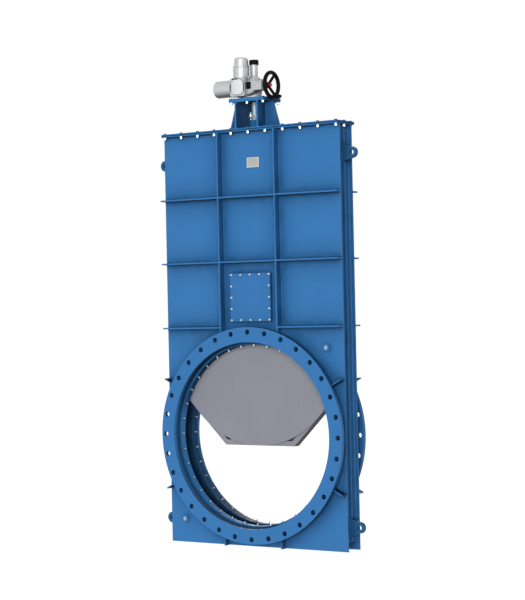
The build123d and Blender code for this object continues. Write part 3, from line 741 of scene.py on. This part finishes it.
class DAMPER_OT_finishes(bpy.types.Operator):
    """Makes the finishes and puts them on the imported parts"""

    bl_idname = "damper.finishes"
    bl_label = "Finishes"

    def execute(self, context):
        hues = settings().colours
        coat, metal = coat_group(), metal_group()
        self.make_blue_coats(coat, hues)
        self.make_drive_coats(coat, hues)
        self.make_metals(metal, hues)
        plug_finish(coat, metal, hues)
        self.make_mouldings(moulded_group(), hues)
        self.put_on()
        return {"FINISHED"}

    def make_blue_coats(self, coat, hues):
        """The casing's coats, from the open plates to the duct, with painted shade in corners and on level
        faces and painted edge highlights.
        """
        plain = {"Coat": hues.coat, "Mottle": 0.12, "Edge Light": 0.12, "Corner Shade": 0.9,
                 "Corner Reach": 0.16, "Under Shade": 0.9, "Gloss": 0.42}
        finish("blue_coat", coat, {**plain, "Upper Shade": 0.75}, bump=0.12, specular=0.12)
        finish("bonnet_coat", coat, {**plain, "Upper Shade": 0.1, "Gloss": 0.6}, bump=0.12, specular=0.02)
        # Painted shade: yoke legs and flange gussets get deep shade in corners and on level faces; lugs and
        # seams start from these values.
        shaded = {"Coat": hues.coat, "Mottle": 0.15, "Edge Light": 0.08, "Corner Shade": 0.95,
                  "Corner Reach": 0.35, "Corner Tone": 0.15, "Upper Shade": 0.95, "Under Shade": 0.95,
                  "Gloss": 0.45}
        finish("shaded_coat", coat, shaded, bump=0.12, specular=0.08)
        # Painted shade: the lugs take the darker duct coat.
        lug = {"Coat": hues.lining, "Corner Shade": 0.7, "Corner Reach": 0.15}
        finish("lug_coat", coat, {**shaded, **lug}, bump=0.12, specular=0.08)
        seam = {"Mottle": 0.2, "Edge Light": 0.0, "Corner Reach": 0.16, "Corner Tone": 0.3,
                "Peel Scale": 160.0}
        finish("blue_seam", coat, {**shaded, **seam}, bump=0.9, depth=0.001, specular=0.12)
        # Painted shade: necks and seal rings take dark coats and deep corner shade; the back seal ring is
        # darker still.
        duct_shade = {"Coat": hues.lining, "Mottle": 0.25, "Corner Shade": 0.95, "Corner Reach": 0.3,
                 "Corner Tone": 0.12, "Under Shade": 0.85, "Gloss": 0.5, "Peel Scale": 200.0}
        finish("duct_coat", coat, duct_shade, bump=0.15, specular=0.05)
        finish("far_ring_coat", coat, {**duct_shade, "Coat": hues.far_ring}, bump=0.15, specular=0.05)
        paler = {"Coat": hues.seal, "Mottle": 0.3, "Corner Reach": 0.12, "Corner Tone": 0.1,
                  "Under Shade": 0.9, "Gloss": 0.45}
        finish("seal_coat", coat, {**duct_shade, **paler}, bump=0.15, specular=0.05)

    def make_drive_coats(self, coat, hues):
        """The drive's silver coats, with painted shade in corners and underneath and painted edge
        highlights.
        """
        casting = {"Coat": hues.casting, "Mottle": 0.08, "Edge Light": 0.25, "Corner Shade": 0.8,
                   "Corner Reach": 0.1, "Under Shade": 0.7, "Gloss": 0.36, "Peel Scale": 700.0}
        finish("silver_casting", coat, casting, metallic=0.2, bump=0.25, specular=0.5)
        lid = {"Coat": hues.cover, "Mottle": 0.06, "Corner Shade": 0.6, "Corner Reach": 0.03,
               "Under Shade": 0.0, "Gloss": 0.34}
        finish("cover_casting", coat, {**casting, **lid}, bump=0.2, specular=0.5)

    def make_metals(self, metal, hues):
        """Plated, bare, dull and ground metal."""
        finish("zinc_plate", metal, {**PLATED, "Metal": hues.zinc}, metallic=0.75)
        bare = {"Metal": hues.bare_plate, "Streak Way": (12.0, 900.0, 900.0), "Streak": 0.14, "Blotch": 0.1,
                "Blotch Scale": 30.0, "Corner Shade": 0.1, "Gloss": 0.42}
        finish("blank_plate", metal, bare, metallic=0.55, bump=0.08)
        dull = {"Metal": hues.gland, "Streak Way": (60.0, 60.0, 60.0), "Streak": 0.15, "Blotch": 0.3,
                "Blotch Scale": 60.0, "Gloss": 0.5}
        finish("gland_steel", metal, dull, metallic=0.5)
        # Painted shade: the blade's down-turned sides and corners are darkened; its edges get a painted
        # highlight.
        sheet = {"Metal": hues.blade, "Streak Way": (260.0, 260.0, 5.0), "Streak": 0.1, "Blotch": 0.16,
                 "Blotch Scale": 3.0, "Edge Light": 0.15, "Corner Shade": 0.4, "Under Shade": 1.0,
                 "Gloss": 0.46}
        finish("blade_sheet", metal, sheet, metallic=0.1, bump=0.05, specular=0.08)
        ground = {"Metal": hues.stem, "Streak Way": (20.0, 20.0, 1600.0), "Streak": 0.16, "Blotch": 0.18,
                  "Blotch Scale": 25.0, "Gloss": 0.46}
        finish("ground_stem", metal, ground, metallic=0.4, bump=0.1, depth=0.0002)

    def make_mouldings(self, moulded, hues):
        """The black, dark and red mouldings, each with its grain, pale edge, gloss, bump and shine."""
        for name, skin, grain, pale_edge, gloss, bump, specular in (
                ("black_coat", hues.black, 900.0, 0.12, 0.42, 0.1, 0.04),
                ("black_grip", hues.black, 600.0, 0.15, 0.5, 0.3, 0.04),
                ("dark_window", hues.glass, 200.0, 0.1, 0.2, 0.0, 0.04),
                ("red_button", hues.red, 800.0, 0.2, 0.3, 0.08, 0.3)):
            values = {"Skin": skin, "Grain Scale": grain, "Pale Edge": pale_edge, "Gloss": gloss}
            finish(name, moulded, values, bump=bump, specular=specular)

    def put_on(self):
        """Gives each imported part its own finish, or else its slot's."""
        own = {node: name for name, nodes in NODES_BY_FINISH.items() for node in nodes}
        for part in frame["record"]["subparts"]:
            node = part["node"]
            mesh = frame["nodes"][node].data
            mesh.materials.clear()
            mesh.materials.append(material(own.get(node, FINISH_BY_SLOT[part["material_slot"]])))


class DAMPER_OT_rim_bolts(bpy.types.Operator):
    """Bolts along the bonnet's rim, coated heads on the cover and bare nuts below"""

    bl_idname = "damper.rim_bolts"
    bl_label = "Rim bolts"

    def execute(self, context):
        sizes = settings().fasteners
        front = COVER_LOW.y + RIM_BOLT_INSET
        side = COVER_HIGH.x - RIM_BOLT_INSET
        half_row = int(side / sizes.rim_bolt_pitch)
        spots = [(i * sizes.rim_bolt_pitch, y) for i in range(-half_row, half_row + 1)
                 for y in (front, DEPTH - front)]
        spots += [(x, MIDDLE) for x in (-side, side)]
        head = hex_bolt(sizes.rim_bolt_flats, LOW_HEAD_SHARE)
        heads = stamp_all(head, [(x, y, COVER_HIGH.z) for x, y in spots], UP)
        new_piece("rim_bolts", heads, "casing", "bonnet_coat")
        nut = hex_nut(sizes.rim_bolt_flats, sizes.rim_bolt_thread)
        nuts = stamp_all(nut, [(x, y, CASING_TOP) for x, y in spots], DOWN)
        new_plated("rim_nuts", nuts)
        return {"FINISHED"}


class DAMPER_OT_hatch_bolts(bpy.types.Operator):
    """Bolts round the inspection hatch"""

    bl_idname = "damper.hatch_bolts"
    bl_label = "Hatch bolts"

    def execute(self, context):
        sizes = settings().fasteners
        low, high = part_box("hatch_cover")
        half = (high.x - low.x) / 2 - HATCH_BOLT_INSET
        gaps = sizes.hatch_bolts_per_side - 1
        steps = [half * (2 * i / gaps - 1) for i in range(gaps + 1)]
        level = (low.z + high.z) / 2
        spots = [(x, low.y, level + z) for x in steps for z in steps if max(abs(x), abs(z)) > half * 0.99]
        bolts = stamp_all(hex_bolt(sizes.hatch_bolt_flats), spots, FORWARD)
        new_plated("hatch_bolts", bolts)
        return {"FINISHED"}


class DAMPER_OT_seal_screws(bpy.types.Operator):
    """Screws that hold the seal rings, all round the duct"""

    bl_idname = "damper.seal_screws"
    bl_label = "Seal screws"

    def execute(self, context):
        sizes = settings().fasteners
        screw = socket_screw(sizes.seal_screw_head, sizes.seal_screw_rise)
        bm = bmesh.new()
        for i in range(sizes.seal_screws):
            angle = 2 * math.pi * i / sizes.seal_screws
            out = Vector((math.sin(angle), 0, math.cos(angle)))
            spot = out * SEAL_BORE + BACKWARD * (SEAL_LIP + SEAL_SCREW_SETBACK)
            for place in (spot, behind(spot)):
                stamp(bm, screw, standing(place, -out))
        new_plated("seal_screws", bm)
        return {"FINISHED"}


class DAMPER_OT_yoke_bolts(bpy.types.Operator):
    """Bolts through the yoke plate and the adapter plate, and those of the gearbox foot"""

    bl_idname = "damper.yoke_bolts"
    bl_label = "Yoke bolts"

    def execute(self, context):
        sizes = settings().fasteners
        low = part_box("yoke_plate")[0]
        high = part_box("adapter_plate")[1]
        x = high.x - YOKE_BOLT_INSET
        ys = (low.y + YOKE_BOLT_INSET, high.y - YOKE_BOLT_INSET)
        corners = [(side * x, y) for side in (-1, 0, 1) for y in ys]
        head = hex_bolt(sizes.yoke_bolt_flats, FLAT_HEAD_SHARE)
        heads = stamp_all(head, [(*corner, high.z) for corner in corners], UP)
        new_piece("yoke_bolts", heads, "casing", "bonnet_coat")
        nut = hex_nut(sizes.yoke_bolt_flats, sizes.yoke_bolt_thread)
        bm = stamp_all(nut, [(*corner, low.z) for corner in corners], DOWN)
        bolt = hex_bolt(sizes.foot_bolt_flats)
        for angle in DRIVE_FOOT_ANGLES:
            turn = math.radians(angle)
            out = Vector((math.cos(turn), math.sin(turn), 0)) * DRIVE_FOOT_RADIUS
            stamp(bm, bolt, standing(out + Vector((0, MIDDLE, high.z + DRIVE_FOOT)), UP))
        new_plated("yoke_nuts", bm)
        return {"FINISHED"}


class DAMPER_OT_gland_studs(bpy.types.Operator):
    """Studs and nuts that press the gland follower down"""

    bl_idname = "damper.gland_studs"
    bl_label = "Gland studs"

    def execute(self, context):
        sizes = settings().fasteners
        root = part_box("stuffing_box")[1].z
        plate_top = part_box("gland_follower")[1].z

        def build(bm):
            reach = plate_top - root
            prism(bm, THREAD_SIDES, sizes.gland_stud / 2, reach + GLAND_STUD_RISE, 0.0, 0.001)
            prism(bm, WASHER_SIDES, sizes.gland_nut_flats * WASHER_REACH, GLAND_WASHER, reach, 0.0005)
            hexagon(bm, sizes.gland_nut_flats, sizes.gland_nut_flats * 0.5, reach + GLAND_WASHER)
        spots = [(side * GLAND_STUD_X, MIDDLE, root) for side in (-1, 1)]
        new_plated("gland_studs", stamp_all(pattern(build), spots, UP))
        return {"FINISHED"}


class DAMPER_OT_drive_screws(bpy.types.Operator):
    """Small screws and blind plugs of the drive"""

    bl_idname = "damper.drive_screws"
    bl_label = "Drive screws"

    def execute(self, context):
        low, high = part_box("control_cover")
        xs = (low.x + COVER_SCREW_INSET, high.x - COVER_SCREW_INSET)
        zs = (low.z + COVER_SCREW_INSET, high.z - COVER_SCREW_INSET)
        corners = [(x, high.y - COVER_SCREW_RISE, z) for x in xs for z in zs]
        cover = stamp_all(socket_screw(COVER_SCREW_HEAD, COVER_SCREW_RISE), corners, FORWARD)
        new_plated("cover_screws", cover)

        def build(bm):
            prism(bm, BLIND_PLUG_SIDES, BLIND_PLUG / 2, BLIND_PLUG_RISE, 0.0, 0.001)
            hexagon(bm, BLIND_PLUG * 0.5, 0.003, BLIND_PLUG_RISE)
        spots = [(x, high.y, high.z + BLIND_PLUG_LIFT) for x in BLIND_PLUG_SPOTS]
        plugs = stamp_all(pattern(build), spots, FORWARD)
        new_piece("blind_plugs", plugs, "casing", "black_coat")
        return {"FINISHED"}


class DAMPER_OT_plate_rivets(bpy.types.Operator):
    """Rivets and raised rim of the bare plate"""

    bl_idname = "damper.plate_rivets"
    bl_label = "Plate rivets"

    def execute(self, context):
        low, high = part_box("nameplate")
        centre = (low + high) / 2
        span = (high.x - low.x - PLATE_RIM, high.z - low.z - PLATE_RIM)
        rim = flat_frame(span, PLATE_RIM, PLATE_RIM_RISE)
        bm = stamp_all(rim, [(centre.x, low.y, centre.z)], FORWARD)

        def build(rivet):
            bmesh.ops.create_uvsphere(rivet, u_segments=12, v_segments=8, radius=RIVET_RADIUS)
        rivet = pattern(build)
        flattened = Matrix.Diagonal((1, RIVET_FLATNESS, 1, 1))
        for x in (low.x + RIVET_INSET, high.x - RIVET_INSET):
            for z in (low.z + RIVET_INSET, high.z - RIVET_INSET):
                stamp(bm, rivet, Matrix.Translation((x, low.y, z)) @ flattened)
        new_plated("plate_rim", bm)
        return {"FINISHED"}


class DAMPER_OT_gaskets(bpy.types.Operator):
    """Gasket between the bonnet's rim and its cover, and a black seal under the control cover that also
    paints the shadow round it
    """

    bl_idname = "damper.gaskets"
    bl_label = "Gaskets and painted shadow"

    def execute(self, context):
        sizes = settings().fasteners
        edge = 2 * GASKET_PROUD
        span = (COVER_HIGH.x - COVER_LOW.x + edge, COVER_HIGH.y - COVER_LOW.y + edge)
        band = flat_frame(span, GASKET_BAND, sizes.gasket)
        bm = stamp_all(band, [(0, MIDDLE, COVER_LOW.z - sizes.gasket / 2)], UP)
        # Painted shadow: the black seal sheet reaches past the control cover's outline and draws the dark
        # gap round it.
        low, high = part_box("control_cover")
        centre = (low + high) / 2
        sheet = rounded_sheet((high.x - low.x + edge, high.z - low.z + edge), COVER_SHADOW_SEAL_CORNER,
                              COVER_SHADOW_SEAL)
        stamp(bm, sheet, standing((centre.x, high.y, centre.z), FORWARD))
        new_piece("gaskets_and_painted_shadow", bm, "casing", "black_grip")
        return {"FINISHED"}


class DAMPER_OT_rib_seams(bpy.types.Operator):
    """Weld seams along the ribs and the flange gussets"""

    bl_idname = "damper.rib_seams"
    bl_label = "Rib seams"

    def execute(self, context):
        leg = settings().seams.rib_leg
        bm = bmesh.new()
        inner, outer = RIB_X - HALF_RIB, RIB_X + HALF_RIB
        for level in RIB_LEVELS:
            spans = [(-CASING_HALF, -outer), (outer, CASING_HALF)]
            if level != RIB_LEVELS[0]:
                spans.append((-inner, inner))
            for start, end in spans:
                for side in (-1, 1):
                    z = level + side * HALF_RIB
                    bead(bm, (start, PLATE_FRONT, z), (end, PLATE_FRONT, z), UP * side, FORWARD, leg)
        for x in (-outer, -inner, inner, outer):
            way = RIGHT if x in (-inner, outer) else -RIGHT
            foot = (x, PLATE_FRONT, VERTICAL_RIB_FOOT + leg)
            bead(bm, foot, (x, PLATE_FRONT, CASING_TOP), way, FORWARD, leg)
        for angle in GUSSET_ANGLES:
            turn = math.radians(angle)
            out = Vector((math.cos(turn), 0, math.sin(turn)))
            across = Vector((-math.sin(turn), 0, math.cos(turn)))
            reach = GUSSET_END / abs(math.cos(turn))
            for side in (-1, 1):
                foot = across * side * HALF_GUSSET + Vector((0, PLATE_FRONT, 0))
                bead(bm, out * (NECK_RADIUS + leg) + foot, out * reach + foot, across * side, FORWARD, leg)
        for x in (-RIB_X, RIB_X):
            for side in (-1, 1):
                foot = (x + side * HALF_GUSSET, PLATE_FRONT, CASING_FOOT)
                head = (x + side * HALF_GUSSET, PLATE_FRONT, FOOT_GUSSET_TOP)
                bead(bm, foot, head, RIGHT * side, FORWARD, leg)
        new_seam("rib_seams", both_faces(bm))
        return {"FINISHED"}


class DAMPER_OT_neck_seams(bpy.types.Operator):
    """Weld seams round the necks, at the flange and at the plate"""

    bl_idname = "damper.neck_seams"
    bl_label = "Neck seams"

    def execute(self, context):
        leg = settings().seams.neck_leg
        bm = bmesh.new()
        stamp(bm, ring_bead(NECK_RADIUS, -1, leg), standing((0, FLANGE_BACK, 0), FORWARD))
        stamp(bm, ring_bead(NECK_RADIUS, 1, leg), standing((0, PLATE_FRONT, 0), FORWARD))
        new_seam("neck_seams", both_faces(bm))
        return {"FINISHED"}


class DAMPER_OT_wall_seams(bpy.types.Operator):
    """Weld seams between the plates, the side walls, the bottom, the rim and the lugs"""

    bl_idname = "damper.wall_seams"
    bl_label = "Wall seams"

    def execute(self, context):
        leg = settings().seams.wall_leg
        bm = bmesh.new()
        left = (-WALL_OUTER, PLATE_INNER, FLOOR_UNDER)
        right = (WALL_OUTER, PLATE_INNER, FLOOR_UNDER)
        bead(bm, left, (-WALL_OUTER, PLATE_INNER, CASING_TOP), -RIGHT, BACKWARD, leg)
        bead(bm, right, (WALL_OUTER, PLATE_INNER, CASING_TOP), RIGHT, BACKWARD, leg)
        bead(bm, left, right, DOWN, BACKWARD, leg)
        rim_left = (-CASING_HALF, PLATE_FRONT, CASING_TOP)
        bead(bm, rim_left, (CASING_HALF, PLATE_FRONT, CASING_TOP), FORWARD, DOWN, leg)
        both_faces(bm)
        for name in ("upper_lifting_lugs", "lower_lifting_lugs"):
            low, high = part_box(name)
            for x, out in ((-WALL_OUTER, -RIGHT), (WALL_OUTER, RIGHT)):
                for y, way in ((low.y, FORWARD), (high.y, BACKWARD)):
                    bead(bm, (x, y, low.z), (x, y, high.z), out, way, leg)
        new_seam("wall_seams", bm)
        return {"FINISHED"}


class DAMPER_OT_yoke_seams(bpy.types.Operator):
    """Weld seams at the yoke's legs, gussets and stuffing box"""

    bl_idname = "damper.yoke_seams"
    bl_label = "Yoke seams"

    def execute(self, context):
        leg = settings().seams.yoke_leg
        bm = bmesh.new()
        low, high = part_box("yoke_gussets")
        leg_low, leg_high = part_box("yoke_legs")
        outer = leg_high.x
        for side in (-1, 1):
            for x, way in ((outer, side), (outer - YOKE_SHEET, -side)):
                for z, rise in ((low.z, UP), (high.z, DOWN)):
                    front = (side * x, leg_low.y, z)
                    bead(bm, front, (side * x, leg_high.y, z), RIGHT * way, rise, leg)
            for y, way in ((low.y, FORWARD), (high.y, BACKWARD)):
                foot = (side * outer, y, low.z)
                bead(bm, foot, (side * outer, y, high.z), RIGHT * side, way, leg)
                bead(bm, foot, (side * high.x, y, low.z), UP, way, leg)
        box_low, box_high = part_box("stuffing_box")
        stamp(bm, ring_bead(box_high.x, 1, leg, 48), Matrix.Translation((0, MIDDLE, box_low.z)))
        new_seam("yoke_seams", bm)
        return {"FINISHED"}


FLOOR_REACH = 60.0
FLOOR_DROP = 0.0005
LAMP_DISTANCE = 10.0
SENSOR_WIDTH = 36.0
CAMERA_REACH = 200.0


class DAMPER_OT_studio(bpy.types.Operator):
    """Floor, lamps, even room light and camera"""

    bl_idname = "damper.studio"
    bl_label = "Studio"

    def execute(self, context):
        studio = settings().studio
        self.lay_floor(studio)
        self.light_room(studio)
        self.hang_lamp("key_lamp", studio.key_strength, studio.key_breadth, studio.key_turn, studio.key_rise)
        self.hang_lamp("back_lamp", studio.back_strength, studio.key_breadth, studio.key_turn + math.pi,
                       studio.back_rise)
        self.set_camera(studio)
        return {"FINISHED"}

    def lay_floor(self, studio):
        """A wide pale floor that shows white with a soft shadow and neither lights nor shades the damper."""
        bm = bmesh.new()
        level = Matrix.Translation((0, 0, CAD_BOX[0][2] - FLOOR_DROP))
        bmesh.ops.create_grid(bm, x_segments=1, y_segments=1, size=FLOOR_REACH, matrix=level)
        mesh = bpy.data.meshes.new("studio_floor")
        bm.to_mesh(mesh)
        bm.free()
        floor = bpy.data.objects.new("studio_floor", mesh)
        bpy.context.scene.collection.objects.link(floor)
        made = bpy.data.materials.new("studio_floor")
        made.use_nodes = True
        tree = made.node_tree
        tree.nodes.clear()
        pale = grow(tree, "BsdfDiffuse")
        pale.inputs["Color"].default_value = (*[studio.floor_tone] * 3, 1.0)
        glow = grow(tree, "Emission")
        glow.inputs["Color"].default_value = WHITE
        glow.inputs["Strength"].default_value = studio.floor_glow
        shown = grow(tree, "AddShader")
        tree.links.new(glow.outputs[0], shown.inputs[0])
        tree.links.new(pale.outputs[0], shown.inputs[1])
        tree.links.new(shown.outputs[0], grow(tree, "OutputMaterial").inputs["Surface"])
        mesh.materials.append(made)
        floor.visible_diffuse = False
        floor.visible_shadow = False

    def light_room(self, studio):
        """Even white room: full white where it is seen, weaker where it lights."""
        world = bpy.data.worlds.new("studio_room")
        world.use_nodes = True
        tree = world.node_tree
        back = tree.nodes["Background"]
        back.inputs["Color"].default_value = WHITE
        seen = grow(tree, "LightPath")
        mirrored = calc(tree, "MAXIMUM", seen.outputs["Is Glossy Ray"], seen.outputs["Is Transmission Ray"])
        looked_at = calc(tree, "MAXIMUM", seen.outputs["Is Camera Ray"], mirrored)
        tree.links.new(spread(tree, looked_at, 0.0, 1.0, studio.ambient, 1.0), back.inputs["Strength"])
        bpy.context.scene.world = world

    def hang_lamp(self, name, strength, breadth, turn, rise):
        """One broad far lamp, turned to the right of the front."""
        lamp = bpy.data.lights.new(name, "SUN")
        lamp.energy = strength
        lamp.angle = breadth
        obj = bpy.data.objects.new(name, lamp)
        bpy.context.scene.collection.objects.link(obj)
        level = math.cos(rise)
        towards = Vector((math.sin(turn) * level, -math.cos(turn) * level, math.sin(rise)))
        obj.matrix_world = standing(towards * LAMP_DISTANCE, towards)

    def set_camera(self, studio):
        """A camera at the picture's own angle."""
        around, above, roll = studio.turn
        level = math.cos(above)
        back = Vector((math.sin(around) * level, -math.cos(around) * level, math.sin(above)))
        right = (-back).cross(UP).normalized()
        up = right.cross(-back)
        across = math.cos(roll) * right + math.sin(roll) * up
        upward = -math.sin(roll) * right + math.cos(roll) * up
        camera = bpy.data.cameras.new("camera")
        camera.lens = studio.lens
        camera.sensor_width = SENSOR_WIDTH
        camera.clip_end = CAMERA_REACH
        obj = bpy.data.objects.new("camera", camera)
        bpy.context.scene.collection.objects.link(obj)
        turn = Matrix((across, upward, back)).transposed().to_4x4()
        obj.matrix_world = Matrix.Translation(studio.eye) @ turn
        bpy.context.scene.camera = obj


OPERATORS = (DAMPER_OT_finishes, DAMPER_OT_rim_bolts, DAMPER_OT_hatch_bolts, DAMPER_OT_seal_screws,
             DAMPER_OT_yoke_bolts, DAMPER_OT_gland_studs, DAMPER_OT_drive_screws, DAMPER_OT_plate_rivets,
             DAMPER_OT_gaskets, DAMPER_OT_rib_seams, DAMPER_OT_neck_seams, DAMPER_OT_wall_seams,
             DAMPER_OT_yoke_seams, DAMPER_OT_studio)


class DAMPER_PT_dressing(bpy.types.Panel):
    """Lists the damper's pieces and their settings"""

    bl_idname = "DAMPER_PT_dressing"
    bl_label = "Damper"
    bl_space_type = "VIEW_3D"
    bl_region_type = "UI"
    bl_category = "Damper"

    def draw(self, context):
        for operator in OPERATORS:
            self.layout.operator(operator.bl_idname)
        for part in ("fasteners", "seams", "colours", "studio"):
            group = getattr(context.scene.damper, part)
            block = self.layout.box()
            for name in group.bl_rna.properties.keys():
                if name not in ("rna_type", "name"):
                    block.prop(group, name)


CLASSES = (DamperFasteners, DamperSeams, DamperColours, DamperStudio, DamperSettings, *OPERATORS,
           DAMPER_PT_dressing)


def register():
    """Makes the settings, the operators and the panel known."""
    for made in CLASSES:
        bpy.utils.register_class(made)
    bpy.types.Scene.damper = PointerProperty(name="Damper", description="Dressing of the damper",
                                             type=DamperSettings)


def unregister():
    """Takes them away again."""
    del bpy.types.Scene.damper
    for made in reversed(CLASSES):
        bpy.utils.unregister_class(made)


def main():
    """Dresses the damper."""
    register()
    bpy.context.scene.view_settings.view_transform = "Standard"
    for operator in OPERATORS:
        getattr(bpy.ops.damper, operator.bl_idname.split(".")[1])()


if __name__ == "__main__":
    main()
